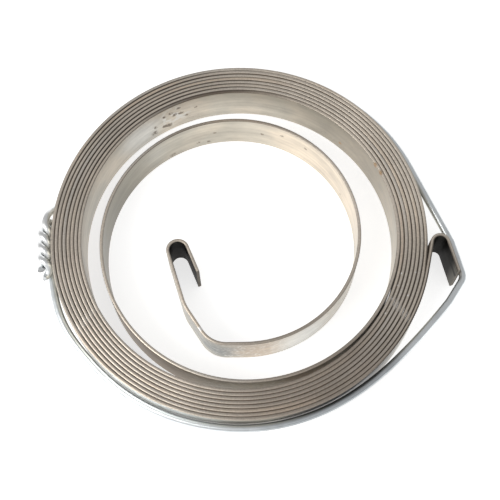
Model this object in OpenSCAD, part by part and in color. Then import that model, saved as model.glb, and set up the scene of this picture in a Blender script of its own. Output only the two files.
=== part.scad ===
// Recoil starter spring, as sold for the rope starter of a small engine.
// A flat spiral of spring steel strip lies wound close, with one free turn inside it,
// a hook at each end, and a tie wire round it that keeps it wound until it is fitted.
// Sizes are in millimetres. It lies on its strip's lower edge, with the pack's middle on the origin.

/* [Strip] */
// Width of the strip, which is the spring's height as it lies
strip_w = 10; // [8:0.5:14]
// Thickness of the strip
strip_t = 0.7; // [0.5:0.05:0.8]
// Chamfer along the strip's four long edges
edge_c = 0.15; // [0.05:0.05:0.2]

/* [Wound pack] */
// Number of turns that lie close together
pack_turns = 8; // [6:1:10]
// Gap between neighbouring turns of the pack
turn_gap = 0.12; // [0.08:0.02:0.2]
// Radius to the middle of the pack's innermost turn
pack_r = 33.6; // [33.2:0.1:35]

/* [Free loop] */
// Reach of the free turn in front of the middle, where it starts
loop_front = 24.3; // [23.5:0.1:25]
// Reach of the free turn to the right
loop_right = 25.4; // [24.6:0.1:26.2]
// Reach of the free turn behind the middle
loop_back = 26.5; // [25.8:0.1:27.2]
// Reach of the free turn to the left
loop_left = 29; // [28.4:0.1:29.6]
// Reach of the free turn in front, a full turn on, as it nears the pack
loop_join = 32.1; // [31.8:0.1:32.2]

/* [Inner end] */
// Straight length before the heel bend
heel_run = 3.6; // [2:0.1:4]
// Middle radius of the heel bend
heel_r = 6; // [4:0.1:7]
// Angle of the heel bend
heel_bend = 57; // [45:1:65]
// Straight length between the heel bend and the arm's slight bend
shank_run = 5.2; // [3:0.1:6]
// Middle radius of the arm's slight bend
shank_r = 10.5; // [6:0.1:14]
// Angle of the arm's slight bend
shank_bend = 16; // [8:1:24]
// Straight length of the arm up to the hook
arm_run = 10.6; // [7:0.1:12]
// Middle radius of the inner hook
hook_r = 2.1; // [1.6:0.1:3]
// Angle that the inner hook turns through
hook_bend = 175; // [165:1:180]
// Straight length of the inner hook's tip
tip_run = 6.1; // [3:0.1:7]

/* [Outer end] */
// Angle that the last turn goes on past the front
last_sweep = 77; // [74:1:80]
// Straight length from the last turn to the outer hook
out_run = 6.8; // [5:0.1:8]
// Middle radius of the outer hook
out_r = 1.7; // [1.4:0.1:2.4]
// Angle that the outer hook turns through
out_bend = 153; // [150:1:158]
// Straight length of the outer hook's lip
lip_run = 7; // [5:0.1:8]

/* [Tie wire] */
// Diameter of the wire
wire_d = 1.6; // [1.2:0.1:1.8]
// Clearance between the wire and the strip
wire_gap = 0.1; // [0.05:0.05:0.2]
// Height by which the wire climbs from the middle of the strip to the outer hook's lip
climb_height = 1.9; // [0:0.1:2.5]
// Height by which the wire starts below the middle of the strip, behind the twist
drop_height = 1.5; // [0:0.1:2]
// Distance that the wire stands out from the pack below the lip
bow_reach = 4.75; // [3.5:0.05:5.5]
// Distance that the wire stands off the pack below the twist
slack_reach = 0.5; // [0:0.1:0.8]
// Length of one full twist of the two ends
twist_length = 5.4; // [5:0.1:7]
// Length of the twisted ends
tail_length = 12.2; // [9:0.1:15]

/* [Hidden] */
$fn = 96;
// The pack is a spiral of half turns: the front halves stand half a pitch to the right of the back ones
pitch = strip_t + turn_gap;
front_c = [pitch / 2, 0];
// Arcs of the free turn, worked back from the pack so that each meets the next without a kink
arc5 = loop_join;
x4 = pack_r - arc5;
arc4 = x4 + loop_left;
y3 = arc4 - loop_join;
arc3 = loop_back - y3;
x2 = arc3 - loop_left;
arc2 = loop_right - x2;
y1 = loop_back - arc2;
arc1 = y1 + loop_front;
x0 = loop_right - arc1;
// The last half turn, which runs on into the outer hook
last_r = pack_r + (pack_turns - 0.5) * pitch;
out_a = 270 + last_sweep;
lip_a = out_a - out_bend;
// Straight lengths reach this far into the bends that they join, and are this much slimmer on each side
reach = 0.12;
slim = 0.01;
// Tie wire: its loop against the pack, and the line above the loop about which its ends are twisted
wire_r = wire_d / 2;
wire_off = strip_t / 2 + wire_gap + wire_r;
wire_z = strip_w / 2;
wire_sides = 12;
coil_r = last_r - pitch / 2 + wire_off;
tail_out = 0.55 * wire_d;
tail_up = 1.6 * wire_d;
strand_r = wire_r + wire_gap / 2;
twist_in = wire_d;
// Angles about the middle: where the twist starts, where the wire's first length meets the pack,
// and where its last length climbs, stands out below the lip and stands off below the twist
tail_a = 175.4;
start_a = 165;
climb_span = [200, 300];
bow_span = [288, 341];
slack_span = [188, 222];
bow_power = 3.5;
// Steps of the swept wire along each strand, bend and length of the loop
tail_n = 26;
bend_n = 10;
back_n = 31;
front_n = 38;

function rot2(a, p) = [p.x * cos(a) - p.y * sin(a), p.x * sin(a) + p.y * cos(a)];
function unit(v) = v / norm(v);
function ease(t) = t * t * (3 - 2 * t);
function share(a, span) = min(1, max(0, (a - span[0]) / (span[1] - span[0])));

// Point of the wire's middle line against the pack at angle a, lifted by up and held off by out
function coil_pt(a, up = 0, out = 0) =
    let (front = a > 180, r = coil_r + out + (front ? pitch / 2 : 0))
    concat((front ? front_c : [0, 0]) + r * [cos(a), sin(a)], [wire_z + up]);
// Direction along the pack at angle a, towards smaller angles
function along(a) = [sin(a), -cos(a), 0];
// The wire's last length, from the lip round the front to the twist
function front_pt(a) = coil_pt(a,
    climb_height * ease(share(a, climb_span)),
    bow_reach * pow(share(a, bow_span), bow_power) + slack_reach * pow(sin(180 * share(a, slack_span)), 2));
// A point in the lip's own frame: x is square to the lip, y runs along it to its end
function lip_pt(p) = concat(
    front_c + rot2(out_a, [last_r + out_r, out_run]) + rot2(lip_a, p), [wire_z + climb_height]);
// Angle at which a line from point p touches a circle of radius r about the middle
function touch_a(p, r) = atan2(p.y, p.x) + acos(r / norm([p.x, p.y]));

// Corner of the wire at b, between a and c, rounded to radius r in n steps
function rounded(a, b, c, r, n) =
    let (u = unit(a - b), v = unit(c - b), half = acos(u * v) / 2, turn = 180 - 2 * half,
         mid = b + unit(u + v) * r / sin(half),
         e1 = b + u * r / tan(half) - mid, e2 = b + v * r / tan(half) - mid)
    [for (i = [0 : n]) let (t = i / n * turn) mid + (e1 * sin(turn - t) + e2 * sin(t)) / sin(turn)];

// One strand of the twisted ends at distance s from their top, where the twist sets in gently
function twist_a(s) = 360 / twist_length * (s < twist_in ? s * s / (2 * twist_in) : s - twist_in / 2);
function strand(s, phase) =
    let (a = tail_a + s / (coil_r + tail_out) * 180 / PI, t = twist_a(s) + phase)
    coil_pt(a, tail_up + strand_r * sin(t), tail_out + strand_r * cos(t));

lip_top = lip_pt([-out_r - wire_off, -wire_d / 5]);
lip_end = lip_pt([-out_r - wire_off, lip_run + 0.6 * wire_d]);
leave_a = touch_a(lip_top, coil_r);
// The wire's first length, from behind the twist round the back to where it leaves for the lip
function back_pt(t) =
    coil_pt(start_a + (leave_a - start_a) * t, climb_height * t - drop_height * (1 - t));
// Bow of the first strand from the twist's top on to the pack
up0 = strand(0, 90);
up3 = coil_pt(start_a, -drop_height);
up1 = up0 + 2 * wire_d * along(tail_a);
up2 = up3 - 2 * wire_d * along(start_a);
function up_pt(t) = pow(1 - t, 3) * up0 + 3 * t * pow(1 - t, 2) * up1 + 3 * t * t * (1 - t) * up2
    + pow(t, 3) * up3;
// Hairpin from the loop's end up into the second strand
hair_in = coil_pt(tail_a);
hair_out = strand(0, 270);
hair_mid = (hair_in + hair_out) / 2;
hair_r = norm(hair_in - hair_out) / 2;
function hair_pt(a) = hair_mid + cos(a) * (hair_in - hair_mid) + hair_r * sin(a) * along(tail_a);

// The first strand is cut shorter than the second by the wire's diameter
tail_1 = tail_length - wire_d;
wire_path = concat(
    [for (i = [tail_n : -1 : 1]) strand(tail_1 * i / tail_n, 90)],
    [for (i = [0 : bend_n - 1]) up_pt(i / bend_n)],
    [for (i = [0 : back_n]) back_pt(i / back_n)],
    rounded(coil_pt(leave_a, climb_height), lip_top, lip_end, 2 * wire_d, 3),
    rounded(lip_top, lip_end, front_pt(bow_span[1]), 1.5 * wire_d, 7),
    [for (i = [0 : front_n]) front_pt(bow_span[1] + (tail_a - bow_span[1]) * i / front_n)],
    [for (i = [1 : bend_n - 1]) hair_pt(180 * i / bend_n)],
    [for (i = [0 : tail_n]) strand(tail_length * i / tail_n, 270)]
);
wire_last = len(wire_path) - 1;
wire_dir = [for (i = [0 : wire_last])
    unit(wire_path[min(i + 1, wire_last)] - wire_path[max(i - 1, 0)])];
function square_to(v, d) = unit(v - (v * d) * d);
// Side direction of each ring, carried along the path so that the wire doesn't twist on itself
wire_side = [for (i = 0, v = square_to([0, 0, 1], wire_dir[0]); i <= wire_last;
    i = i + 1, v = i <= wire_last ? square_to(v, wire_dir[i]) : v) v];

// Cross-section of the strip, standing on its lower edge, or inset by d all round
module strip_section(d = 0) {
    x = strip_t / 2 - d;
    c = edge_c;
    polygon([
        [c - x, d], [x - c, d], [x, d + c], [x, strip_w - d - c],
        [x - c, strip_w - d], [c - x, strip_w - d], [-x, strip_w - d - c], [-x, d + c]
    ]);
}

// Curved length of strip about centre c, from angle a through turn
module bend(c, r, a, turn) {
    translate([c.x, c.y, 0])
        rotate_extrude(angle = turn, start = a)
            translate([r, 0])
                strip_section();
}

// Straight length of strip along +X, from before p to after it has gone length
module straight(p, length, before = reach, after = reach) {
    translate([p.x - before, p.y, 0])
        rotate([90, 0, 90])
            linear_extrude(length + before + after)
                strip_section(slim);
}

// Close turns: back halves about the middle, front halves half a pitch to the right
module pack() {
    for (k = [0 : pack_turns - 1])
        bend([0, 0], pack_r + k * pitch, 0, 180);
    for (k = [0 : pack_turns - 2])
        bend(front_c, pack_r + (k + 0.5) * pitch, 180, 180);
    bend(front_c, last_r, 180, 90 + last_sweep);
}

// The free turn between the inner end and the pack
module free_loop() {
    bend([x0, y1], arc1, 270, 90);
    bend([x2, y1], arc2, 0, 90);
    bend([x2, y3], arc3, 90, 90);
    bend([x4, y3], arc4, 180, 90);
    bend([x4, 0], arc5, 270, 90);
}

// Heel, shank, arm, hook and tip, from the free turn inwards
module inner_end() {
    straight([x0 - heel_run, -loop_front], heel_run);
    translate([x0 - heel_run, heel_r - loop_front]) {
        bend([0, 0], heel_r, 270, -heel_bend);
        rotate(-heel_bend) {
            straight([-shank_run, -heel_r], shank_run);
            translate([-shank_run, shank_r - heel_r]) {
                bend([0, 0], shank_r, 270, -shank_bend);
                rotate(-shank_bend) {
                    straight([-arm_run, -shank_r], arm_run);
                    translate([-arm_run, hook_r - shank_r]) {
                        bend([0, 0], hook_r, 270, -hook_bend);
                        rotate(-hook_bend)
                            straight([-tip_run, -hook_r], tip_run, before = 0);
                    }
                }
            }
        }
    }
}

// Straight length off the last turn, the outer hook and its lip
module outer_end() {
    translate(front_c)
        rotate(out_a + 90) {
            straight([0, -last_r], out_run);
            translate([out_run, -last_r - out_r]) {
                bend([0, 0], out_r, 90, -out_bend);
                rotate(-out_bend)
                    straight([0, out_r], lip_run, after = 0);
            }
        }
}

// The spring: one strip from the inner hook's tip to the outer hook's lip
module starter_spring() {
    color([0.62, 0.59, 0.55])
        union() {
            inner_end();
            free_loop();
            pack();
            outer_end();
        }
}

// The tie wire: one length, round the pack and over the outer hook's lip, its ends twisted together
module tie_wire() {
    ring = [for (j = [0 : wire_sides - 1]) 360 * j / wire_sides];
    points = [for (i = [0 : wire_last], a = ring)
        wire_path[i] + wire_r * (cos(a) * wire_side[i] + sin(a) * cross(wire_dir[i], wire_side[i]))];
    skin = [for (i = [0 : wire_last - 1], j = [0 : wire_sides - 1])
        let (n = (j + 1) % wire_sides, a = i * wire_sides, b = a + wire_sides)
        [a + j, b + j, b + n, a + n]];
    first = [for (j = [0 : wire_sides - 1]) j];
    last = [for (j = [wire_sides - 1 : -1 : 0]) wire_last * wire_sides + j];
    color([0.68, 0.71, 0.73])
        polyhedron(points, concat(skin, [first, last]));
}

starter_spring();
tie_wire();
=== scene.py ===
"""Looks of a recoil starter spring: the wound strip, its tie wire and the studio round them."""

import math
from collections import defaultdict

import bpy
from mathutils import Matrix, Vector, noise


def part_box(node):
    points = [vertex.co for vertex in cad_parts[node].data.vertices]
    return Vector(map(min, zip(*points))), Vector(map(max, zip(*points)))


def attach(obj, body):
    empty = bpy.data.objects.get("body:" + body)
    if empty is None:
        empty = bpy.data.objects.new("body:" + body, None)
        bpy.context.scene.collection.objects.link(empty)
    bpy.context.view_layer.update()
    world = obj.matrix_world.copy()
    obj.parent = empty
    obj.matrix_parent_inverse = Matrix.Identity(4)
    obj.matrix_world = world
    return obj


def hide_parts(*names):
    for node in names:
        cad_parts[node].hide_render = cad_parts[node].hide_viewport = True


bl_info = {
    "name": "Recoil Starter Spring",
    "version": (1, 0, 0),
    "blender": (4, 5, 0),
    "location": "View3D > Sidebar > Starter Spring",
    "description": "Builds a wound starter spring, its tie wire and a white studio",
    "category": "Add Mesh",
}

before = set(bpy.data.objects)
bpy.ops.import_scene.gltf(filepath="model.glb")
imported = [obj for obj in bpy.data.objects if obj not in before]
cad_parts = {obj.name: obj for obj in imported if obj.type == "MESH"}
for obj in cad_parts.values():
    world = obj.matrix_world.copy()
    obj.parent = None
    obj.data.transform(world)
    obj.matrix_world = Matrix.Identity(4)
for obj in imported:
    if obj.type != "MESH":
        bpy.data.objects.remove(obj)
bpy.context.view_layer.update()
STRIP_LOW, STRIP_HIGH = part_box("starter_spring")
MM = 0.001
STRIP_WIDTH = (STRIP_HIGH.z - STRIP_LOW.z) / MM

# How finely the lines and the sections are cut
STRAIGHT_STEP = 1.0 * MM
WIDE_RADIUS = 15 * MM
WIDE_STEP = math.radians(1.5)
TIGHT_STEP = math.radians(4.5)
CROWN_STEPS = 8
FACE_PARTS = (0.25, 0.5, 0.75)
WIRE_SIDES = 28
WIRE_STEP = 0.45 * MM

# Share of the crown's arc that is drawn, and how many crowns deep the shoulder lies
CROWN_REACH = 0.9
SHOULDER = 1.3

# Strays along a length: a seed and the length of a wave for each
TURN_STRAY = (5.1, 38 * MM)
EDGE_STRAY = (1.7, 60 * MM)
WIRE_STRAY = (8.3, 17 * MM)

# Gain and row of the strays' noise, and the share of it that the close turns lose in front
WANDER_GAIN = 1.6
WANDER_ROW = 0.37
CALM_IN_FRONT = 0.7


def length(name, description, millimetres):
    """A length property, given in millimetres and kept in metres."""
    return bpy.props.FloatProperty(
        name=name, description=description, default=millimetres * MM, unit="LENGTH", precision=5
    )


def angle(name, description, degrees):
    """An angle property, given in degrees."""
    return bpy.props.FloatProperty(
        name=name, description=description, default=math.radians(degrees), subtype="ANGLE"
    )


def colour(name, description, rgb):
    """A colour property."""
    return bpy.props.FloatVectorProperty(
        name=name, description=description, default=rgb, size=3, min=0, max=1, subtype="COLOR"
    )


def share(name, description, value, high=1.0):
    """A plain number from nothing to high."""
    return bpy.props.FloatProperty(
        name=name, description=description, default=value, min=0, max=high
    )


class StripSizes(bpy.types.PropertyGroup):
    """Sizes of the strip and of the line that it is wound along."""

    width: length("Width", "Width of the strip, which stands on its edge", STRIP_WIDTH)
    thickness: length("Thickness", "Thickness of the strip", 0.7)
    crown: length("Crown", "How far the strip's upper and lower edges are crowned", 0.115)
    pack_turns: bpy.props.IntProperty(
        name="Pack turns", description="Turns that lie close", default=8
    )
    turn_gap: length("Turn gap", "Gap between neighbouring turns of the pack", 0.12)
    pack_radius: length("Pack radius", "Radius to the middle of the innermost close turn", 33.6)
    loop_front: length("Loop front", "Reach of the free turn in front, where it starts", 24.3)
    loop_right: length("Loop right", "Reach of the free turn to the right", 25.4)
    loop_back: length("Loop back", "Reach of the free turn behind", 26.5)
    loop_left: length("Loop left", "Reach of the free turn to the left", 29.0)
    loop_join: length("Loop join", "Reach of the free turn in front, as it nears the pack", 32.1)
    heel_run: length("Heel run", "Straight length before the heel bend", 3.6)
    heel_radius: length("Heel radius", "Middle radius of the heel bend", 6.0)
    heel_bend: angle("Heel bend", "Angle of the heel bend", 57)
    shank_run: length("Shank run", "Straight length between the heel and the arm", 5.2)
    shank_radius: length("Shank radius", "Middle radius of the arm's slight bend", 10.5)
    shank_bend: angle("Shank bend", "Angle of the arm's slight bend", 16)
    arm_run: length("Arm run", "Straight length of the arm", 10.6)
    hook_radius: length("Hook radius", "Middle radius of the inner hook", 2.1)
    hook_bend: angle("Hook bend", "Angle of the inner hook", 175)
    tip_run: length("Tip run", "Straight length of the inner hook's tip", 6.1)
    last_sweep: angle("Last sweep", "Angle that the last turn goes on past the front", 77)
    out_run: length("Out run", "Straight length from the last turn to the outer hook", 6.8)
    out_radius: length("Outer hook radius", "Middle radius of the outer hook", 1.7)
    out_bend: angle("Outer hook bend", "Angle of the outer hook", 153)
    lip_run: length("Lip run", "Straight length of the outer hook's lip", 7.0)
    bow: length("Bow", "How far the middle of the strip's width bows inwards in the pack", 0.11)
    turn_wander: length("Turn wander", "How far the close turns stray from an even spiral", 0.045)
    edge_wander: length("Edge wander", "How far the upper edge dips below the full width", 0.12)


class WireSizes(bpy.types.PropertyGroup):
    """Sizes of the tie wire and of its route."""

    diameter: length("Diameter", "Diameter of the wire", 1.6)
    gap: length("Gap", "Clearance between the wire and the strip", 0.1)
    climb: length("Climb", "Height that the wire climbs to the outer hook's lip", 1.9)
    drop: length("Drop", "How far below the strip's middle the wire starts, behind the twist", 1.5)
    bow: length("Bow", "How far the wire stands out below the lip", 4.75)
    slack: length("Slack", "How far the wire stands off the pack below the twist", 0.5)
    twist_length: length("Twist length", "Length of one full twist of the two ends", 5.4)
    tail_length: length("Tail length", "Length of the twisted ends", 12.2)
    pinch: length("Pinch", "Length over which the cut ends are pinched flat", 0.9)
    stray: length("Stray", "How far the wire strays from an even run", 0.05)


class Finishes(bpy.types.PropertyGroup):
    """Colours of the strip and the wire."""

    rolled: colour("Rolled face", "Bare rolled face of the strip", (0.56, 0.53, 0.46))
    edge: colour("Slit edge", "Slit edges of the strip, which show as rims", (0.75, 0.675, 0.585))
    pale_rim: colour("Pale edge", "Greyer lengths of the rims", (0.68, 0.665, 0.63))
    peach_rim: colour("Peach edge", "Warmer lengths of the rims", (0.86, 0.68, 0.50))
    # Oiled edges also stand as painted shade on the rims in front and on the innermost rim at the
    # back, and darken the free turn's rim towards the back
    oiled: colour("Oiled edge", "Edges darkened by old oil", (0.17, 0.13, 0.10))
    # Straw is also painted light on the free turn's inner face at the right and at the back
    straw: colour("Straw", "Warm tint that the strip's tempering left", (0.74, 0.655, 0.54))
    blue: colour("Temper blue", "Bluish grey tint at the heel bend", (0.255, 0.27, 0.27))
    peach: colour("Peach", "Pinkish straw tint past the heel bend", (0.62, 0.515, 0.40))
    # Dull grey is painted shade on inner faces of the free turn and the pack
    shade: colour("Dull grey", "Dull inner face of the free turn", (0.255, 0.235, 0.188))
    # Taupe is painted shade on the free turn's outer face where it nears the pack
    taupe: colour("Taupe", "Dull outer face of the free turn", (0.29, 0.21, 0.13))
    # Gap, film and dirt are old oil, made lighter in front as painted light and darker at the back
    # left as painted shade
    gap: colour("Gap", "Brown film on the faces between close turns", (0.30, 0.235, 0.18))
    film: colour("Film", "Lighter brown film between close turns in front", (0.50, 0.385, 0.29))
    dirt: colour("Dirt", "Old oil along both sides of a rim", (0.075, 0.055, 0.042))
    # Cool grey is also a painted highlight on the last turn's outer face at the front left
    cool: colour("Cool grey", "Clean bluish patches of the strip's faces", (0.80, 0.81, 0.79))
    brown: colour("Brown", "Oil varnish where the free turn joins the pack", (0.34, 0.22, 0.12))
    # This colour is a painted shadow of the wire, and painted shade on the pack's outer face at the
    # right
    tie_shadow: colour("Grime", "Dark line where the wire presses on the pack", (0.055, 0.052, 0.048))
    # Scale in the hooks is also painted shade
    scale: colour("Scale", "Dark scale inside the heated hooks", (0.010, 0.008, 0.006))
    stain: colour("Stain", "Brown specks of old oil", (0.15, 0.095, 0.055))
    rust: colour("Rust", "Rust flecks", (0.45, 0.25, 0.08))
    # Bright is also used for bright dots on the rims; those at the right are painted glints
    bright: colour("Bright nick", "Bright nicks on the rims", (0.95, 0.93, 0.90))
    zinc: colour("Zinc", "Galvanised wire", (0.90, 0.94, 0.96))
    # This zinc is painted light on the wire's twisted ends
    zinc_painted_light: colour("Clean zinc", "Whitish zinc of the twisted ends", (0.98, 0.985, 0.985))
    # Dull zinc is real dull patches, and painted shade on the wire in front
    zinc_dull_and_shade: colour("Dull zinc", "Dull patches of the galvanised wire", (0.50, 0.53, 0.55))


class StudioSettings(bpy.types.PropertyGroup):
    """Light, floor and camera."""

    floor: colour("Floor", "Floor and backdrop", (0.86, 0.86, 0.86))
    floor_glow: share("Floor glow", "Light that the floor itself gives to metal", 0.60)
    floor_white: share("Floor white", "Light that the floor itself gives to the camera", 0.69)
    sky: share("Sky", "Brightness of the white room", 0.42, 4.0)
    window_power: share("Window power", "Power of the window-like lamp at the left", 1.0, 50.0)
    fill_power: share("Fill power", "Power of the soft lamp in front", 0.25, 50.0)
    elevation: angle("Elevation", "Camera's height above the horizon", 69.299)
    distance: length("Distance", "Camera's distance from its target", 231.57)
    roll: angle("Roll", "Camera's roll", -0.571)
    focal: share("Focal length", "Camera's focal length in millimetres", 75.967, 500.0)
    target: bpy.props.FloatVectorProperty(
        name="Target",
        description="Point that the camera aims at",
        default=(2.263 * MM, -0.348 * MM, 0),
        size=3,
        subtype="TRANSLATION",
        unit="LENGTH",
        precision=6,
    )


class Field:
    """A shader value. Arithmetic on it adds Math nodes."""

    def __init__(self, finish, socket):
        self.finish = finish
        self.socket = socket

    def _math(self, operation, first, second=0.0, clamp=False):
        settings = {"operation": operation, "use_clamp": clamp}
        return self.finish.node("ShaderNodeMath", settings, {0: first, 1: second})

    def __add__(self, other):
        return self._math("ADD", self, other)

    def __radd__(self, other):
        return self._math("ADD", other, self)

    def __sub__(self, other):
        return self._math("SUBTRACT", self, other)

    def __rsub__(self, other):
        return self._math("SUBTRACT", other, self)

    def __mul__(self, other):
        return self._math("MULTIPLY", self, other)

    def __rmul__(self, other):
        return self._math("MULTIPLY", other, self)

    def clip(self):
        """Held between 0 and 1."""
        return self._math("ADD", self, 0.0, clamp=True)


class Finish:
    """A node tree under construction: a material's or the world's."""

    def __init__(self, owner):
        self.owner = owner
        owner.use_nodes = True
        self.tree = owner.node_tree
        self.tree.nodes.clear()

    def node(self, kind, settings=None, sockets=None, out=0):
        """Adds a node of that kind, sets it, then feeds its sockets. Returns its chosen output."""
        made = self.tree.nodes.new(kind)
        for key, value in (settings or {}).items():
            setattr(made, key, value)
        for key, value in (sockets or {}).items():
            if isinstance(value, Field):
                self.tree.links.new(value.socket, made.inputs[key])
            else:
                made.inputs[key].default_value = value
        return Field(self, made.outputs[out]) if made.outputs else made

    def mix(self, first, second, factor):
        """One colour turning into another."""
        first, second = (v if isinstance(v, Field) else (*v, 1) for v in (first, second))
        return self.node(
            "ShaderNodeMix", {"data_type": "RGBA"}, {0: factor, 6: first, 7: second}, out=2
        )

    def layers(self, base, *laid):
        """Colours laid on a base one after another, each with a value for where it shows."""
        for tint, mask in laid:
            base = self.mix(base, tint, mask)
        return base

    def shade(self, tint, amount):
        """A colour made lighter or darker by a value round 1."""
        grey = self.node("ShaderNodeCombineXYZ", None, {0: amount, 1: amount, 2: amount})
        return self.node(
            "ShaderNodeVectorMath", {"operation": "MULTIPLY"}, {0: tint, 1: grey}
        )

    def rise(self, value, low, high):
        """0 below low, 1 above high, with a soft step between."""
        return self.node(
            "ShaderNodeMapRange",
            {"interpolation_type": "SMOOTHSTEP"},
            {"Value": value, "From Min": low, "From Max": high},
        )

    def grain(self, place, scale=1.0, detail=2.0, roughness=0.5, distortion=0.0):
        """Noise from 0 to 1."""
        sockets = {"Vector": place, "Scale": scale, "Detail": detail}
        sockets |= {"Roughness": roughness, "Distortion": distortion}
        return self.node("ShaderNodeTexNoise", None, sockets)

    def place(self, x, y, z):
        """A vector from three values."""
        return self.node("ShaderNodeCombineXYZ", None, {0: x, 1: y, 2: z})

    def here(self):
        """Place on the object."""
        return self.node("ShaderNodeTexCoord", None, None, out="Object")

    def near(self, point, reach, ragged=0.0):
        """1 at a point on the object, given in millimetres, falling to 0 at reach away."""
        apart = self.node(
            "ShaderNodeVectorMath",
            {"operation": "DISTANCE"},
            {0: self.here(), 1: [c * MM for c in point]},
            out="Value",
        )
        return 1 - self.rise(apart + ragged, 0.25 * reach * MM, reach * MM)

    def spot(self, name, ragged=0.0):
        """1 in the middle of a named place, falling to 0 at its reach."""
        return self.near(*SPOTS[name], ragged)

    def marks(self, places, ragged):
        """Small marks with ragged borders, each given as a point and a reach in millimetres."""
        return sum(self.near(point, reach, ragged) for point, reach in places).clip()

    def stored(self, name):
        """A value that the mesh keeps for each vertex."""
        return self.node("ShaderNodeAttribute", {"attribute_name": name}, None, out="Fac")

    def bump(self, height, strength, distance):
        """A normal roughened by a height."""
        return self.node(
            "ShaderNodeBump",
            None,
            {"Height": height, "Strength": strength, "Distance": distance},
        )

    def surface(self, **sockets):
        """Ends the material in a Principled shader. Socket names are written with underscores."""
        shader = self.node(
            "ShaderNodeBsdfPrincipled",
            None,
            {key.replace("_", " "): value for key, value in sockets.items()},
        )
        self.node("ShaderNodeOutputMaterial", None, {"Surface": shader})
        return self.owner


def trace(start, heading, moves):
    """Walks along straight lengths and bends. A move is (None, length) or (radius, signed angle).

    Returns points, headings in radians and the distance gone at each.
    """
    x, y = start
    gone = 0.0
    walked = [(x, y, heading, gone)]
    for radius, amount in moves:
        if radius is None:
            count = max(2, math.ceil(amount / STRAIGHT_STEP))
            for _ in range(count):
                x += math.cos(heading) * amount / count
                y += math.sin(heading) * amount / count
                gone += amount / count
                walked.append((x, y, heading, gone))
            continue
        side = math.copysign(1.0, amount)
        centre_x = x - side * radius * math.sin(heading)
        centre_y = y + side * radius * math.cos(heading)
        step = WIDE_STEP if radius > WIDE_RADIUS else TIGHT_STEP
        count = max(3, math.ceil(abs(amount) / step))
        first = heading
        for i in range(1, count + 1):
            heading = first + amount * i / count
            x = centre_x + side * radius * math.sin(heading)
            y = centre_y - side * radius * math.cos(heading)
            walked.append((x, y, heading, gone + radius * abs(amount) * i / count))
        gone += radius * abs(amount)
    return walked


def strip_line(sizes):
    """The strip's middle line in plan, from the inner hook's tip to the outer hook's lip.

    Returns (x, y, heading, distance) along the strip, and the distances at which the pack starts
    and ends.
    """
    pitch = sizes.thickness + sizes.turn_gap
    quarter = math.pi / 2
    right_5 = sizes.pack_radius - sizes.loop_join
    arc_4 = right_5 + sizes.loop_left
    front_3 = arc_4 - sizes.loop_join
    arc_3 = sizes.loop_back - front_3
    arc_2 = sizes.loop_right - (arc_3 - sizes.loop_left)
    arc_1 = sizes.loop_back - arc_2 + sizes.loop_front
    inward = [(r, -quarter) for r in (sizes.loop_join, arc_4, arc_3, arc_2, arc_1)]
    inward += [
        (None, sizes.heel_run),
        (sizes.heel_radius, -sizes.heel_bend),
        (None, sizes.shank_run),
        (sizes.shank_radius, -sizes.shank_bend),
        (None, sizes.arm_run),
        (sizes.hook_radius, -sizes.hook_bend),
        (None, sizes.tip_run),
    ]
    outward = []
    for turn in range(sizes.pack_turns):
        outward.append((sizes.pack_radius + turn * pitch, math.pi))
        outward.append((sizes.pack_radius + (turn + 0.5) * pitch, math.pi))
    outward[-1] = (outward[-1][0], quarter + sizes.last_sweep)
    pack_length = sum(radius * amount for radius, amount in outward)
    outward += [(None, sizes.out_run), (sizes.out_radius, -sizes.out_bend), (None, sizes.lip_run)]
    start = (sizes.pack_radius, 0.0)
    inner = trace(start, -quarter, inward)
    outer = trace(start, quarter, outward)
    inner_length = inner[-1][3]
    line = [(x, y, h + math.pi, inner_length - s) for x, y, h, s in reversed(inner)]
    line += [(x, y, h, inner_length + s) for x, y, h, s in outer[1:]]
    return line, inner_length, inner_length + pack_length


def strip_section(sizes):
    """The strip's section with crowned edges, as (offset, height, normal) going round it once."""
    half = sizes.thickness / 2
    radius = (half * half + sizes.crown * sizes.crown) / (2 * sizes.crown)
    reach = CROWN_REACH * math.asin(half / radius)
    shoulder = SHOULDER * sizes.crown
    section = []
    for edge, facing in ((0.0, -1), (sizes.width, 1)):
        section.append((facing * half, edge - facing * shoulder, (facing, 0)))
        for i in range(CROWN_STEPS + 1):
            a = reach * (1 - 2 * i / CROWN_STEPS)
            across, up = facing * math.sin(a), facing * math.cos(a)
            section.append((radius * across, edge + radius * (up - facing), (across, up)))
        section.append((-facing * half, edge - facing * shoulder, (-facing, 0)))
        for part in FACE_PARTS:
            up = part * sizes.width if facing < 0 else (1 - part) * sizes.width
            section.append((-facing * half, up, (-facing, 0)))
    return section


def tube_faces(rings, around, verts, normals, values, facings, cap_values):
    """Faces of a tube of rings. Each end is closed by a copy of its ring that faces outwards.

    The copies are added to verts, normals and values, with cap_values where a name has one.
    """
    faces = []
    for i in range(rings - 1):
        for j in range(around):
            n = (j + 1) % around
            a, b = i * around, (i + 1) * around
            faces.append((a + j, b + j, b + n, a + n))
    for ring, facing in zip((0, rings - 1), facings):
        first = len(verts)
        for j in range(ring * around, (ring + 1) * around):
            verts.append(verts[j].copy())
            normals.append(facing)
            for name, numbers in values.items():
                numbers.append(cap_values.get(name, numbers[j]))
        cap = tuple(range(first, first + around))
        faces.append(cap[::-1] if ring else cap)
    return faces


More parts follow.
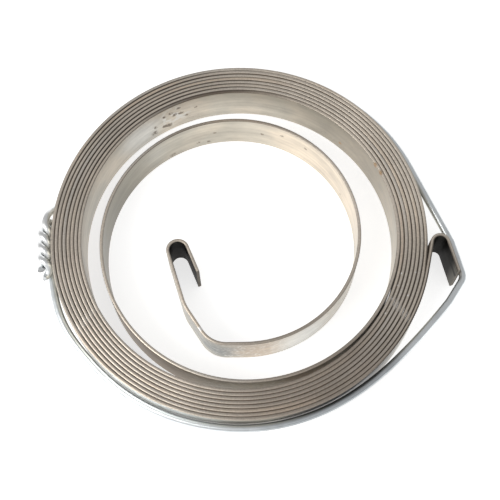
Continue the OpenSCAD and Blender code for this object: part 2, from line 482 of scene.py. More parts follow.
def new_piece(name, verts, faces, normals, values, node, material):
    """A mesh piece that stands for a CAD node and rides on the part's body.

    Values hold one number for each vertex, which the material reads by name.
    """
    mesh = bpy.data.meshes.new(name)
    mesh.from_pydata(verts, [], faces)
    mesh.polygons.foreach_set("use_smooth", [True] * len(mesh.polygons))
    mesh.normals_split_custom_set_from_vertices(normals)
    for value, numbers in values.items():
        mesh.attributes.new(value, "FLOAT", "POINT").data.foreach_set("value", numbers)
    mesh.materials.append(material)
    piece = bpy.data.objects.new(name, mesh)
    bpy.context.scene.collection.objects.link(piece)
    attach(piece, "root")
    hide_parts(node)


def wander(distance, seed, wave):
    """A smooth stray value from -1 to 1 along a length."""
    swing = WANDER_GAIN * noise.noise(Vector((distance / wave, seed, WANDER_ROW)))
    return max(-1.0, min(1.0, swing))


# Places where a finish changes, many of them places of painted light and shade: the middle and the
# reach of each in millimetres
SPOTS = {
    "lit right of the free turn": ((20, 14, 5), 22),
    "lit back of the free turn": ((4, 26, 5), 16),
    "past the heel": ((4, -24.5, 5), 9),
    "heel": ((-4.2, -23.4, 5), 5.5),
    "shank": ((-9, -19, 5), 7),
    "shaded left of the free turn": ((-30, 2, 5), 33),
    "shaded back of the free turn": ((-8, 25, 5), 17),
    "shaded right of the pack": ((26, 22, 5), 26),
    "shaded back of the pack": ((14, 30, 9), 22),
    "less shaded join": ((8, -31, 5), 24),
    "varnished join": ((14, -30, 8), 9),
    "clean back of the pack": ((-22, 25, 6), 8),
    "clean front of the free turn": ((13, -22, 5), 9),
    "rubbed back of the pack": ((-14.5, 29.8, 6), 5.5),
    "scratched heel": ((2, -24, 5), 16),
    "scratched front": ((16, -17, 5), 14),
    "lit outer face": ((-20, -35, 8), 24),
    "shaded outer face": ((23, -34, 7), 19),
    "front rims": ((2, -37, 10), 36),
    "back left rims": ((-24, 27, 10), 34),
    "darker free rim": ((-2, 26, 10), 26),
    "shaded rims in front": ((15, -35, 10), 30),
    "darker right rims": ((36, -16, 10), 20),
    "dirty heel rim": ((2, -24, 10), 13),
    "shaded last rim": ((37, -16, 10), 24),
    "highlit right rims": ((33, 17, 10), 26),
    "shaded wire in front": ((18, -38, 7), 24),
    "twist": ((-42, 1, 8), 14),
}

# Marks on the strip: the place and the reach of each in millimetres
OIL_SPECKS = (
    ((-18.9, 27.3, 2.5), 1.5),
    ((-18.6, 27.6, 4.7), 1.0),
    ((-16.7, 28.8, 3.0), 1.3),
    ((-15.6, 29.4, 2.4), 1.3),
    ((-16.6, 28.8, 7.1), 0.8),
    ((-15.1, 29.6, 7.4), 1.0),
    ((-14.3, 30.0, 6.0), 1.2),
    ((-13.0, 30.6, 5.8), 1.1),
    ((-13.3, 30.5, 8.2), 0.9),
    ((-11.8, 31.1, 3.9), 0.9),
    ((-9.6, 31.8, 6.2), 0.7),
    ((-14.9, 22.3, 1.3), 1.2),
    ((-9.2, 24.9, 2.2), 0.8),
    ((-6.8, 25.5, 1.5), 0.8),
    ((-5.4, 25.8, 5.2), 0.7),
    ((5.2, 25.5, 5.0), 0.8),
    ((9.6, 24.0, 6.8), 0.9),
    ((14.9, 21.0, 6.6), 0.8),
    ((22.6, 11.9, 2.4), 0.7),
)
RUST_FLECKS = (
    ((29.5, 15.4, 9.4), 0.9),
    ((30.4, 13.4, 9.7), 0.9),
    ((22.8, 24.2, 2.6), 0.7),
)
# Bright dots on the rims; those along the right are painted glints
RIM_BRIGHT_DOTS = (
    ((33.6, -9.6, 10), 0.35),
    ((32.6, -12.2, 10), 0.35),
    ((31.4, -15.0, 10), 0.35),
    ((29.8, -18.2, 10), 0.35),
    ((36.7, -9.4, 10), 0.35),
    ((34.7, -14.4, 10), 0.35),
    ((-8.1, -21.2, 10), 0.8),
    ((-16.9, -37.2, 10), 0.4),
    ((-5.6, -40.3, 10), 0.4),
)

# Grain of the strip: waves to the metre along it and across it, and a row of the noise
FINE_GRAIN = (45.0, 5200.0, 0.0)
BROAD_GRAIN = (18.0, 900.0, 4.0)
CLOUD_GRAIN = (130.0, 330.0, 9.0)
CUT_RUN = (900.0, 600.0)
CUT_ACROSS = (320.0, 1700.0)
DIRT_WAVES = 60.0
DIRT_ROW = (0.0, 6.0)
TINT_WAVES = 22.0
TINT_ROW = (3.0, 8.0)

# Grain in all directions: waves to the metre
PATCH_WAVES = 90.0
RUB_WAVES = 700.0
SPECK_WAVES = 1900.0
GRIT_WAVES = 2600.0
ZINC_PATCH_WAVES = 160.0
ZINC_RUN_WAVES = 90.0
ZINC_FINE_WAVES = 2400.0

# Distances from the inner tip between which the free turn's outer face takes its painted shade and
# oil varnish, or stops being clean
NEARS_PACK = (105 * MM, 135 * MM)
STAYS_CLEAN = (90 * MM, 110 * MM)

# Heights between which the pack's inner wall takes a painted shade, darker towards its top
UPPER_WALL = (5 * MM, 10 * MM)

# Half widths of the painted shadow that the wire leaves on the pack's outer face
TIE_LINE = (0.3 * MM, 0.9 * MM)

# How far the borders of marks and tints stray, and how deep the bumps are, in metres
BLUE_RAGGED = 0.006
FLECK_RAGGED = 0.0012
NICK_RAGGED = 0.0003
STEEL_RELIEF = 0.00004
ZINC_RELIEF = 0.00003


def steel_finish(finishes):
    """Rolled spring steel: streaks, temper tints, oil, specks, scale in the hooks, and painted
    light and shade.
    """
    f = Finish(bpy.data.materials.new("rolled_spring_steel"))
    here = f.here()
    height = f.node("ShaderNodeSeparateXYZ", None, {0: here}, out="Z")
    along = f.stored("along")
    rim = f.stored("rim")
    outside = f.stored("outside")
    inside = 1 - outside
    free = f.stored("free")
    wound = 1 - free
    close = f.stored("gap")
    gap = close * (1 - rim)
    flank = f.stored("flank")
    tied = f.stored("tied")

    def streaks(waves, **settings):
        """Grain drawn out along the strip."""
        run, across, row = waves
        return f.grain(f.place(along * run, height * across, row), **settings)

    def cuts(lean, row):
        """Short scratches that lean one way or the other."""
        run = along * CUT_RUN[0] + height * (lean * CUT_RUN[1])
        across = height * CUT_ACROSS[1] - along * (lean * CUT_ACROSS[0])
        return f.grain(f.place(run, across, row), detail=1.0)

    fine = streaks(FINE_GRAIN, detail=3.0, roughness=0.6)
    broad = streaks(BROAD_GRAIN)
    cloud = streaks(CLOUD_GRAIN, detail=4.0, roughness=0.6)
    patch = f.grain(here, PATCH_WAVES)
    grit = f.grain(here, GRIT_WAVES)

    # Tints of the faces: temper tints, painted light at the lit spots and painted shade at the
    # shaded spots
    # Straw at the lit spots is painted light; elsewhere it is a temper tint
    warm = 0.5 * f.rise(patch, 0.42, 0.66) + f.spot("lit right of the free turn")
    warm = (warm + 0.3 * f.spot("lit back of the free turn")).clip()
    blue = f.spot("heel", (cloud - 0.5) * BLUE_RAGGED) + 0.4 * f.spot("shank")
    upper = f.rise(height, *UPPER_WALL)
    nearing_pack = f.rise(along, *NEARS_PACK)
    kept_clean = 1 - f.rise(along, *STAYS_CLEAN)
    body = f.layers(
        finishes.rolled,
        (finishes.straw, warm * (1 - 0.5 * outside)),
        (finishes.peach, outside * f.spot("past the heel")),
        (finishes.blue, blue.clip() * 0.9),
        # Painted shade on the inner faces
        (finishes.shade, inside * free * f.spot("shaded left of the free turn")),
        (finishes.shade, inside * wound * f.spot("shaded right of the pack") * 0.5),
        (finishes.shade, inside * free * f.spot("shaded back of the free turn") * 0.3),
        (finishes.shade, inside * wound * upper * f.spot("shaded back of the pack") * 0.4),
        # Taupe is painted shade on the free turn's outer face near the pack; the brown is oil
        # varnish
        (finishes.taupe, outside * free * nearing_pack * (1 - 0.85 * f.spot("less shaded join"))),
        (finishes.brown, outside * nearing_pack * f.spot("varnished join") * 0.65),
        (finishes.cool, inside * f.spot("clean back of the pack") * 0.55),
        (finishes.cool, outside * kept_clean * f.spot("clean front of the free turn") * 0.6),
    )

    # Streaks, scratches, old oil between the turns with painted light in front and painted shade at
    # the back left, and a painted shadow, painted shade and a painted highlight on the last turn's
    # outer face
    streaky = (fine - 0.5) * 0.34 + (broad - 0.5) * 0.40 + (cloud - 0.5) * 0.85
    scratched = f.spot("scratched heel") + 0.5 * f.spot("scratched front")
    scratches = f.rise(cuts(1, 2.0), 0.56, 0.68) + f.rise(cuts(-1, 7.0), 0.58, 0.70)
    # The oil film between the turns is lighter in front as painted light and darker at the back
    # left as painted shade
    front = f.spot("front rims")
    back_left = f.spot("back left rims")
    film = f.layers(finishes.gap, (finishes.film, front), (finishes.dirt, back_left * 0.8))
    tie_apart = f.node(
        "ShaderNodeMath", {"operation": "ABSOLUTE"}, {0: height - f.stored("tie_height")}
    )
    # Painted shadow of the wire along its height, and painted shade on the outer face at the right
    tie_shadow = (1 - f.rise(tie_apart, *TIE_LINE)) * (0.8 + (cloud - 0.5))
    tie_shadow = tie_shadow + f.spot("shaded outer face")
    body = f.layers(
        f.shade(body, 1 + streaky),
        (finishes.bright, (scratched * scratches * outside).clip() * 0.5),
        (film, gap),
        # Painted highlight on the last turn's outer face at the front left
        (finishes.cool, tied * f.spot("lit outer face")),
        (finishes.tie_shadow, (tie_shadow * tied).clip() * 0.95),
    )

    # Rims, with painted shade on the rims in front, on the innermost rim at the back and on the
    # last rim at the right, and a painted highlight on the rims at the right
    crest = 1 - flank
    # Oil along both sides of a rim: darker at the back left as painted shade, lighter in front as
    # painted light, and darker at the right and the heel
    dirty = 0.35 + 0.55 * back_left + 0.45 * f.spot("darker right rims") - 0.3 * front
    dirty = (dirty + 0.5 * f.spot("dirty heel rim")).clip()
    dirty = dirty * (0.7 + 0.6 * f.grain(f.place(along * DIRT_WAVES, *DIRT_ROW)))
    tint = f.grain(f.place(along * TINT_WAVES, *TINT_ROW))
    # Painted shade on the outer side of the last rim at the right
    smear = f.rise(tied, 0.5, 1.0) * f.spot("shaded last rim")
    rims = f.layers(
        finishes.edge,
        (finishes.oiled, 0.5 * free * f.spot("darker free rim")),
        (finishes.oiled, 0.5 * f.spot("shaded rims in front")),
        (finishes.dirt, (f.rise(flank, 0.35, 1.0) * dirty).clip()),
        # Painted shade on the innermost rim at the back
        (finishes.oiled, f.stored("inner_rim_shade") * 0.85),
        (finishes.pale_rim, f.rise(tint, 0.50, 0.66) * crest * 0.5),
        (finishes.peach_rim, (1 - f.rise(tint, 0.34, 0.48)) * crest * 0.5),
        (finishes.dirt, smear * 0.8),
    )
    # Painted highlight on the crests of the rims at the right
    clean = 0.28 * f.spot("highlit right rims") * crest
    rims = f.shade(rims, 1 + (grit - 0.5) * 0.5 + (patch - 0.5) * 0.4 + clean)
    # Bright dots on the rims; those at the right are painted glints
    nicks = f.marks(RIM_BRIGHT_DOTS, (grit - 0.5) * NICK_RAGGED)

    # Specks, flecks, bright dots on the rims, and scale that is also painted shade in the hooks
    ragged = f.grain(here, SPECK_WAVES, detail=5.0, roughness=0.75)
    face = (1 - rim) * (1 - close)
    rubbed = f.spot("rubbed back of the pack") * f.rise(f.grain(here, RUB_WAVES), 0.48, 0.60)
    specks = f.rise(f.marks(OIL_SPECKS, 0.0) * 0.30 + ragged, 0.68, 0.80) * face
    flecks = f.marks(RUST_FLECKS, (ragged - 0.5) * FLECK_RAGGED)
    # Scale in the hooks and on the cut ends, which also stands as painted shade inside the hooks
    scale_and_shade = (f.stored("scale_and_shade") * (1.1 + (cloud - 0.5) * 0.3)).clip()
    body = f.layers(
        body,
        (f.mix(rims, finishes.bright, nicks), rim),
        (finishes.cool, rubbed * face * 0.6),
        (finishes.stain, specks * 0.6),
        (finishes.rust, flecks * 0.7),
        (finishes.scale, scale_and_shade),
    )

    dull = (specks * 0.5 + scale_and_shade).clip()
    polish = 0.33 + (fine - 0.5) * 0.16 + (cloud - 0.5) * 0.22
    polish = polish + 0.25 * dull + 0.14 * rim + 0.4 * gap
    relief = fine * 0.6 + broad * 0.3 + grit * 0.4 * rim - specks * 0.6
    return f.surface(
        Base_Color=body,
        Metallic=(1 - 0.5 * specks - 0.9 * gap).clip(),
        Roughness=polish.clip(),
        Normal=f.bump(relief, 0.16, STEEL_RELIEF),
    )


def zinc_finish(finishes):
    """Galvanised wire: bright zinc with long dull patches, faint drawn lines, painted shade at the
    front and on its underside, and painted light on the twisted ends.
    """
    f = Finish(bpy.data.materials.new("galvanised_wire"))
    here = f.here()
    along = f.stored("along")
    patches = f.grain(here, ZINC_PATCH_WAVES, detail=3.0, roughness=0.55, distortion=0.3)
    runs = f.grain(f.place(along * ZINC_RUN_WAVES, patches * 2.0, 3.0), detail=3.0)
    fine = f.grain(here, ZINC_FINE_WAVES)
    # Dull patches, with painted shade on the wire in front
    dull = 0.5 * f.rise(patches * 0.6 + runs * 0.4, 0.44, 0.68) + f.spot("shaded wire in front")
    dull = dull.clip()
    twist = f.spot("twist")
    # Painted light on the twisted ends
    body = f.layers(
        finishes.zinc, (finishes.zinc_dull_and_shade, dull), (finishes.zinc_painted_light, twist * 0.8)
    )
    # Painted shade on the wire's underside, less on the twisted ends
    body = f.shade(body, 1 + (fine - 0.5) * 0.10 - 0.5 * f.stored("under") * (1 - twist))
    body = f.mix(body, finishes.scale, 0.25 * f.stored("cut"))
    return f.surface(
        Base_Color=body,
        Metallic=1.0,
        Roughness=(0.34 + dull * 0.06 + twist * 0.06 + (fine - 0.5) * 0.06).clip(),
        Normal=f.bump(runs * 0.8 + fine * 0.2, 0.04, ZINC_RELIEF),
    )


def ease(low, high, value):
    """A soft step from 0 at low to 1 at high."""
    t = max(0.0, min(1.0, (value - low) / (high - low)))
    return t * t * (3 - 2 * t)


# Soft steps along the strip: where each begins and ends, counted from a point of its line
STRAY_STARTS = (40 * MM, 90 * MM)
STRAY_ENDS = (-60 * MM, -20 * MM)
FREE_ENDS = (-45 * MM, -10 * MM)
TURN_MEETS = (-5 * MM, 5 * MM)
PACK_MEETS = (-20 * MM, 5 * MM)
HOOK_SCALE_ENDS = (0.0, 9 * MM)
LIP_SCALE_STARTS = (-3 * MM, 0.0)
LIP_SCALE_FADES = (-4 * MM, 0.0)

# The same for the strip's bow, in turns
BOW_STARTS = (-0.6, 0.4)

# Angles round the pack, in radians, between which its innermost rim takes a painted shade
INNER_RIM_SHADE_STARTS = (0.9, 1.7)
INNER_RIM_SHADE_ENDS = (2.0, 2.4)

# Tilts of the surface between which it turns into a rim, an outer face or scaled metal
RIM_TILT = (0.2, 0.5)
OUTER_TILT = (-0.2, 0.2)
SCALE_TILT = (0.1, 0.9)

# Scale on the strip's cut ends, and the share of the lip's scale that is lost at its end
CAP_SCALE = 0.6
LIP_SCALE_LOST = 0.35


def step_at(point, reach, gone):
    """A soft step along the strip, that begins and ends at two distances from a point."""
    return ease(point + reach[0], point + reach[1], gone)


class OBJECT_OT_wound_strip(bpy.types.Operator):
    """Winds the strip from the inner hook's tip to the outer hook's lip"""

    bl_idname = "object.starter_wound_strip"
    bl_label = "Wound Strip"

    def execute(self, context):
        sizes = context.scene.starter_strip
        line, pack_start, pack_end = strip_line(sizes)
        total = line[-1][3]
        section = strip_section(sizes)
        verts, normals = [], []
        route = WireRoute(sizes, context.scene.starter_wire)
        values = defaultdict(list)
        turn = 2 * math.pi * sizes.pack_radius
        first_end = pack_start + turn
        bow_steps = [share_of_turn * turn for share_of_turn in BOW_STARTS]
        last_start = pack_end - 2 * math.pi * route.last
        hook_end = sizes.tip_run + sizes.hook_radius * sizes.hook_bend
        lip_start = total - sizes.lip_run - sizes.out_radius * sizes.out_bend
        for x, y, heading, gone in line:
            side = Vector((math.sin(heading), -math.cos(heading), 0))
            in_pack = step_at(pack_start, STRAY_STARTS, gone)
            in_pack *= 1 - step_at(pack_end, STRAY_ENDS, gone)
            calm = 1 - CALM_IN_FRONT * max(0.0, -y / sizes.pack_radius)
            stray = sizes.turn_wander * in_pack * calm * wander(gone, *TURN_STRAY)
            dip = sizes.edge_wander * (0.5 + 0.5 * wander(gone, *EDGE_STRAY))
            free = 1 - step_at(pack_start, FREE_ENDS, gone)
            round_pack = (gone - pack_start) / sizes.pack_radius
            # Painted shade on the innermost rim at the back
            inner_rim_shade = ease(*INNER_RIM_SHADE_STARTS, round_pack) * (1 - ease(*INNER_RIM_SHADE_ENDS, round_pack))
            in_gap = step_at(first_end, TURN_MEETS, gone)
            outermost = step_at(last_start, TURN_MEETS, gone)
            out_gap = step_at(pack_start, PACK_MEETS, gone) * (1 - outermost)
            tie_height = route.tie_height(math.degrees(math.atan2(y, x)))
            hook_scale = 1 - step_at(hook_end, HOOK_SCALE_ENDS, gone)
            lip_scale = step_at(lip_start, LIP_SCALE_STARTS, gone)
            lip_scale *= 1 - LIP_SCALE_LOST * step_at(total, LIP_SCALE_FADES, gone)
            bow = sizes.bow * step_at(first_end, bow_steps, gone)
            for across, up, (n_side, n_up) in section:
                sunk = dip * up / sizes.width
                middle = 4 * up * (sizes.width - up) / sizes.width**2
                inward = bow * middle * (1 - outermost if across > 0 else 1)
                verts.append(Vector((x, y, up - sunk)) + side * (across + stray - inward))
                normals.append(side * n_side + Vector((0, 0, n_up)))
                outer = ease(*OUTER_TILT, n_side)
                inner_scale = hook_scale * ease(*SCALE_TILT, -n_side)
                outer_scale = lip_scale * ease(*SCALE_TILT, n_side)
                now = {
                    "along": gone,
                    "rim": ease(*RIM_TILT, abs(n_up)),
                    "outside": outer,
                    "free": free,
                    "gap": out_gap if n_side > 0 else in_gap,
                    "tied": outermost * outer,
                    "tie_height": tie_height,
                    "inner_rim_shade": inner_rim_shade,
                    # Scale that is also painted shade inside the hooks
                    "scale_and_shade": max(inner_scale, outer_scale),
                    "flank": min(1.0, abs(across) / (sizes.thickness / 2)),
                }
                for name, number in now.items():
                    values[name].append(number)
        facings = []
        for ring, outward in ((0, -1), (-1, 1)):
            heading = line[ring][2]
            facings.append(Vector((math.cos(heading), math.sin(heading), 0)) * outward)
        caps = {"scale_and_shade": CAP_SCALE}
        faces = tube_faces(len(line), len(section), verts, normals, values, facings, caps)
        finish = steel_finish(context.scene.starter_finishes)
        new_piece(
            "wound_strip", verts, faces, normals, values, "starter_spring", finish
        )
        return {"FINISHED"}


def turned(angle_now, x, y):
    """A plan vector turned about the upright axis."""
    c, s = math.cos(angle_now), math.sin(angle_now)
    return Vector((x * c - y * s, x * s + y * c, 0))


def rounded(before, corner, after, radius, count):
    """Points of a corner rounded to a radius."""
    u = (before - corner).normalized()
    v = (after - corner).normalized()
    half = u.angle(v) / 2
    turn = math.pi - 2 * half
    middle = corner + (u + v).normalized() * radius / math.sin(half)
    first = corner + u * radius / math.tan(half) - middle
    last = corner + v * radius / math.tan(half) - middle
    points = []
    for i in range(count + 1):
        t = turn * i / count
        points.append(middle + (first * math.sin(turn - t) + last * math.sin(t)) / math.sin(turn))
    return points


class WireRoute:
    """The tie wire's middle line: round the pack, over the outer hook's lip, down the twist."""

    # Angles in degrees about the middle, and the power that shapes the bow below the lip
    TWIST_TOP = 175.4
    MEETS_PACK = 165.0
    CLIMB = (200.0, 300.0)
    BOW = (288.0, 341.0)
    SLACK = (188.0, 222.0)
    BOW_POWER = 3.5

    # Lengths in wire diameters
    TAIL_OUT = 0.55
    TAIL_UP = 1.6
    LIP_BACK = 0.2
    LIP_PAST = 0.6
    LEAD = 2.0
    LIP_TOP_RADIUS = 2.0
    LIP_END_RADIUS = 1.5

    # Phases of the two twisted ends in degrees, and how finely each length is cut
    PHASES = (90, 270)
    FIRST_END_CUTS = 72
    LEAD_CUTS = 24
    BACK_CUTS = 120
    LIP_TOP_CUTS = 10
    LIP_END_CUTS = 20
    FRONT_CUTS = 140
    HAIRPIN_CUTS = 24
    LAST_END_CUTS = 80

    def __init__(self, strip, wire):
        self.strip = strip
        self.wire = wire
        self.pitch = strip.thickness + strip.turn_gap
        self.front = Vector((self.pitch / 2, 0, 0))
        self.last = strip.pack_radius + (strip.pack_turns - 0.5) * self.pitch
        self.off = strip.thickness / 2 + wire.gap + wire.diameter / 2
        self.coil_radius = self.last - self.pitch / 2 + self.off
        self.tail_out = self.TAIL_OUT * wire.diameter
        self.tail_up = self.TAIL_UP * wire.diameter
        self.strand_radius = wire.diameter / 2 + wire.gap / 2
        self.out_angle = math.radians(270) + strip.last_sweep
        self.lip_angle = self.out_angle - strip.out_bend

    def against(self, degrees, up=0.0, out=0.0):
        """A point against the pack, lifted by up and held off by out."""
        a = math.radians(degrees)
        in_front = degrees > 180
        reach = self.coil_radius + out + (self.pitch / 2 if in_front else 0)
        level = self.strip.width / 2 + up
        point = Vector((reach * math.cos(a), reach * math.sin(a), level))
        return point + self.front if in_front else point

    @staticmethod
    def onward(degrees):
        """Direction along the pack, towards smaller angles."""
        a = math.radians(degrees)
        return Vector((math.sin(a), -math.cos(a), 0))

    def along_front(self, degrees):
        """A point of the last length, from the lip round the front to the twist."""
        climb = self.wire.climb * ease(*self.CLIMB, degrees)
        bow = max(0.0, (degrees - self.BOW[0]) / (self.BOW[1] - self.BOW[0]))
        slack = max(0.0, min(1.0, (degrees - self.SLACK[0]) / (self.SLACK[1] - self.SLACK[0])))
        out = self.wire.bow * bow**self.BOW_POWER + self.wire.slack * math.sin(math.pi * slack) ** 2
        return self.against(degrees, climb, out)

    def tie_height(self, degrees):
        """Height of the wire where it lies against the pack, whichever length of it that is."""
        degrees = degrees % 360
        if degrees > 180:
            return self.strip.width / 2 + self.wire.climb * ease(*self.CLIMB, degrees)
        t = (self.MEETS_PACK - degrees) / self.MEETS_PACK
        return self.strip.width / 2 + self.wire.climb * t - self.wire.drop * (1 - t)

    def on_lip(self, x, y):
        """A point in the lip's own frame: x is square to the lip, y runs along it to its end."""
        hook = turned(self.out_angle, self.last + self.strip.out_radius, self.strip.out_run)
        level = self.strip.width / 2 + self.wire.climb
        return self.front + hook + turned(self.lip_angle, x, y) + Vector((0, 0, level))

    def strand(self, s, phase):
        """A point of one of the twisted ends, at distance s from their top."""
        degrees = self.TWIST_TOP + math.degrees(s / (self.coil_radius + self.tail_out))
        soft = self.wire.diameter
        run = s * s / (2 * soft) if s < soft else s - soft / 2
        t = 2 * math.pi * run / self.wire.twist_length + math.radians(phase)
        up = self.tail_up + self.strand_radius * math.sin(t)
        out = self.tail_out + self.strand_radius * math.cos(t)
        return self.against(degrees, up, out)

    def points(self):
        """The whole line, from the first cut end to the second."""
        d = self.wire.diameter
        first_phase, last_phase = self.PHASES
        lip_face = -self.strip.out_radius - self.off
        lip_top = self.on_lip(lip_face, -self.LIP_BACK * d)
        lip_end = self.on_lip(lip_face, self.strip.lip_run + self.LIP_PAST * d)
        leave = math.degrees(
            math.atan2(lip_top.y, lip_top.x) + math.acos(self.coil_radius / lip_top.xy.length)
        )

        # The first end, from its cut to the top of the twist, and its lead on to the pack
        first_run = self.wire.tail_length - d
        cuts = self.FIRST_END_CUTS
        line = [self.strand(first_run * i / cuts, first_phase) for i in range(cuts, 0, -1)]
        twist_top = self.strand(0, first_phase)
        meets = self.against(self.MEETS_PACK, -self.wire.drop)
        lead = (
            twist_top,
            twist_top + self.LEAD * d * self.onward(self.TWIST_TOP),
            meets - self.LEAD * d * self.onward(self.MEETS_PACK),
            meets,
        )
        for i in range(self.LEAD_CUTS):
            t = i / self.LEAD_CUTS
            weights = ((1 - t) ** 3, 3 * t * (1 - t) ** 2, 3 * t * t * (1 - t), t**3)
            line.append(sum((w * p for w, p in zip(weights, lead)), Vector()))

        # Round the back, over the lip and along the front
        for i in range(self.BACK_CUTS + 1):
            t = i / self.BACK_CUTS
            degrees = self.MEETS_PACK + (leave - self.MEETS_PACK) * t
            line.append(self.against(degrees, self.wire.climb * t - self.wire.drop * (1 - t)))
        leaves = self.against(leave, self.wire.climb)
        lands = self.along_front(self.BOW[1])
        line += rounded(leaves, lip_top, lip_end, self.LIP_TOP_RADIUS * d, self.LIP_TOP_CUTS)
        line += rounded(lip_top, lip_end, lands, self.LIP_END_RADIUS * d, self.LIP_END_CUTS)
        span = self.TWIST_TOP - self.BOW[1]
        cuts = self.FRONT_CUTS
        line += [self.along_front(self.BOW[1] + span * i / cuts) for i in range(cuts + 1)]

        # The hairpin into the last end
        hair_in = self.against(self.TWIST_TOP)
        hair_out = self.strand(0, last_phase)
        middle = (hair_in + hair_out) / 2
        bulge = (hair_in - hair_out).length / 2 * self.onward(self.TWIST_TOP)
        for i in range(1, self.HAIRPIN_CUTS):
            a = math.pi * i / self.HAIRPIN_CUTS
            line.append(middle + math.cos(a) * (hair_in - middle) + math.sin(a) * bulge)
        last_run = self.wire.tail_length
        cuts = self.LAST_END_CUTS
        return line + [self.strand(last_run * i / cuts, last_phase) for i in range(cuts + 1)]


def even_steps(line, step):
    """A line's points set again at even steps along it."""
    gone = [0.0]
    for before, point in zip(line, line[1:]):
        gone.append(gone[-1] + (point - before).length)
    count = math.ceil(gone[-1] / step)
    even = []
    k = 0
    for i in range(count + 1):
        wanted = gone[-1] * i / count
        while k < len(line) - 2 and gone[k + 1] < wanted:
            k += 1
        t = (wanted - gone[k]) / (gone[k + 1] - gone[k])
        even.append(line[k].lerp(line[k + 1], min(1.0, t)))
    return even, gone[-1] / count


# How much of its thickness a cut end loses, how long the cut shows, and the tilts over which its
# underside takes a painted shade
PINCHED_SHARE = 0.5
CUT_LENGTH = 0.3 * MM
SHADED_UNDERSIDE_TILT = (-0.1, 1.0)


class OBJECT_OT_tie_wire(bpy.types.Operator):
    """Draws the tie wire round the pack and over the outer hook's lip"""

    bl_idname = "object.starter_tie_wire"
    bl_label = "Tie Wire"

    def execute(self, context):
        wire = context.scene.starter_wire
        route = WireRoute(context.scene.starter_strip, wire)
        line, step = even_steps(route.points(), WIRE_STEP)
        radius = wire.diameter / 2
        around = WIRE_SIDES
        verts, normals = [], []
        values = defaultdict(list)
        last = len(line) - 1
        side = Vector((0, 0, 1))
        facings = []
        for i, point in enumerate(line):
            ahead = (line[min(i + 1, last)] - line[max(i - 1, 0)]).normalized()
            side = (side - side.dot(ahead) * ahead).normalized()
            other = side.cross(ahead)
            gone = i * step
            from_end = min(i, last - i) * step
            pinched = (1 - min(1.0, from_end / wire.pinch)) ** 2
            lift = Vector((0, 0, wire.stray * wander(gone, *WIRE_STRAY)))
            for j in range(around):
                a = 2 * math.pi * j / around
                outward = math.cos(a) * side + math.sin(a) * other
                thick = 1 - PINCHED_SHARE * pinched
                flat = thick * math.cos(a) * side + math.sin(a) * other
                verts.append(point + lift + radius * flat)
                normals.append(outward)
                values["along"].append(gone)
                values["cut"].append(1 - ease(0.0, CUT_LENGTH, from_end))
                # Painted shade on the wire's underside
                values["under"].append(ease(*SHADED_UNDERSIDE_TILT, -outward.z))
            if i in (0, last):
                facings.append(ahead if i else -ahead)
        faces = tube_faces(len(line), around, verts, normals, values, facings, {})
        finish = zinc_finish(context.scene.starter_finishes)
        new_piece(
            "twisted_wire", verts, faces, normals, values, "tie_wire", finish
        )
        return {"FINISHED"}


# The studio, in metres: each lamp has a place, a width and a colour
FLOOR_HALF = 4.0
LAMPS_AIM = (0, 0, 0.005)
WINDOW_LAMP = ((-0.31, -0.16, 0.32), 0.30, (1, 0.98, 0.95))
FILL_LAMP = ((0.12, -0.40, 0.40), 0.40, (1, 1, 1))
NEAREST_SEEN = 0.01

# Width of the camera's sensor in millimetres
SENSOR_WIDTH = 36.0


def lamp(name, place, width, tint, power):
    """A square soft lamp aimed at the object."""
    data = bpy.data.lights.new(name, "AREA")
    data.shape = "RECTANGLE"
    data.size = data.size_y = width
    data.energy = power
    data.color = tint
    made = bpy.data.objects.new(name, data)
    made.location = place
    made.rotation_mode = "QUATERNION"
    made.rotation_quaternion = (Vector(LAMPS_AIM) - Vector(place)).to_track_quat("-Z", "Y")
    bpy.context.scene.collection.objects.link(made)


def floor_finish(studio):
    """White paper that keeps the object's shadow and glows a little to what sees it."""
    f = Finish(bpy.data.materials.new("white_paper"))
    paper = f.node("ShaderNodeBsdfDiffuse", None, {"Color": (*studio.floor, 1)})
    shown = paper
    glows = {"Is Glossy Ray": studio.floor_glow, "Is Camera Ray": studio.floor_white}
    for ray, strength in glows.items():
        glow = f.node("ShaderNodeEmission", None, {"Strength": strength})
        lit = f.node("ShaderNodeAddShader", None, {0: paper, 1: glow})
        seen = f.node("ShaderNodeLightPath", None, None, out=ray)
        shown = f.node("ShaderNodeMixShader", None, {0: seen, 1: shown, 2: lit})
    f.node("ShaderNodeOutputMaterial", None, {"Surface": shown})
    return f.owner


def white_room(studio):
    """An even white world."""
    f = Finish(bpy.data.worlds.new("white_room"))
    back = f.node("ShaderNodeBackground", None, {"Color": (1, 1, 1, 1), "Strength": studio.sky})
    f.node("ShaderNodeOutputWorld", None, {"Surface": back})
    return f.owner


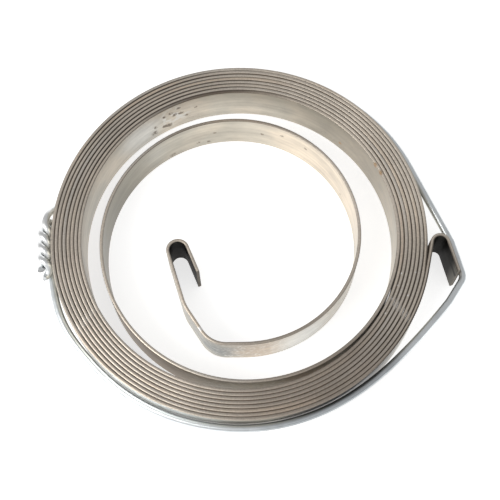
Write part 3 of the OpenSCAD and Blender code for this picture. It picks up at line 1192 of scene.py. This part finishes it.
class SCENE_OT_studio(bpy.types.Operator):
    """Sets the white floor, the soft lamps and the camera"""

    bl_idname = "scene.starter_studio"
    bl_label = "Studio"

    def execute(self, context):
        scene = context.scene
        studio = scene.starter_studio
        scene.view_settings.view_transform = "Standard"
        scene.world = white_room(studio)
        half = FLOOR_HALF
        corners = [(-half, -half, 0), (half, -half, 0), (half, half, 0), (-half, half, 0)]
        mesh = bpy.data.meshes.new("floor")
        mesh.from_pydata(corners, [], [(0, 1, 2, 3)])
        mesh.materials.append(floor_finish(studio))
        floor = bpy.data.objects.new("floor", mesh)
        scene.collection.objects.link(floor)
        lamp("window", *WINDOW_LAMP, studio.window_power)
        lamp("fill", *FILL_LAMP, studio.fill_power)

        data = bpy.data.cameras.new("camera")
        data.lens = studio.focal
        data.sensor_width = SENSOR_WIDTH
        data.clip_start = NEAREST_SEEN
        camera = bpy.data.objects.new("camera", data)
        scene.collection.objects.link(camera)
        c, s = math.cos(studio.elevation), math.sin(studio.elevation)
        right, up, back = Vector((1, 0, 0)), Vector((0, s, c)), Vector((0, -c, s))
        rc, rs = math.cos(studio.roll), math.sin(studio.roll)
        axes = (right * rc + up * rs, up * rc - right * rs, back)
        turn = Matrix(axes).transposed().to_4x4()
        place = Vector(studio.target) + back * studio.distance
        camera.matrix_world = Matrix.Translation(place) @ turn
        scene.camera = camera
        return {"FINISHED"}


class VIEW3D_PT_starter_spring(bpy.types.Panel):
    """Lists the spring's pieces and the studio"""

    bl_label = "Starter Spring"
    bl_idname = "VIEW3D_PT_starter_spring"
    bl_space_type = "VIEW_3D"
    bl_region_type = "UI"
    bl_category = "Starter Spring"

    def draw(self, context):
        for operator in (OBJECT_OT_wound_strip, OBJECT_OT_tie_wire, SCENE_OT_studio):
            self.layout.operator(operator.bl_idname)
        for group in SETTINGS:
            box = self.layout.box()
            for name in SETTINGS[group].__annotations__:
                box.prop(getattr(context.scene, group), name)


SETTINGS = {
    "starter_strip": StripSizes,
    "starter_wire": WireSizes,
    "starter_finishes": Finishes,
    "starter_studio": StudioSettings,
}
CLASSES = (
    *SETTINGS.values(),
    OBJECT_OT_wound_strip,
    OBJECT_OT_tie_wire,
    SCENE_OT_studio,
    VIEW3D_PT_starter_spring,
)


def register():
    """Registers the classes and hangs the settings on the scene."""
    for cls in CLASSES:
        bpy.utils.register_class(cls)
    for group, cls in SETTINGS.items():
        setattr(bpy.types.Scene, group, bpy.props.PointerProperty(type=cls))


def unregister():
    """Takes the settings and the classes away again."""
    for group in SETTINGS:
        delattr(bpy.types.Scene, group)
    for cls in reversed(CLASSES):
        bpy.utils.unregister_class(cls)


def main():
    """Builds the studio and the pieces."""
    register()
    bpy.ops.scene.starter_studio()
    bpy.ops.object.starter_wound_strip()
    bpy.ops.object.starter_tie_wire()


if __name__ == "__main__":
    main()
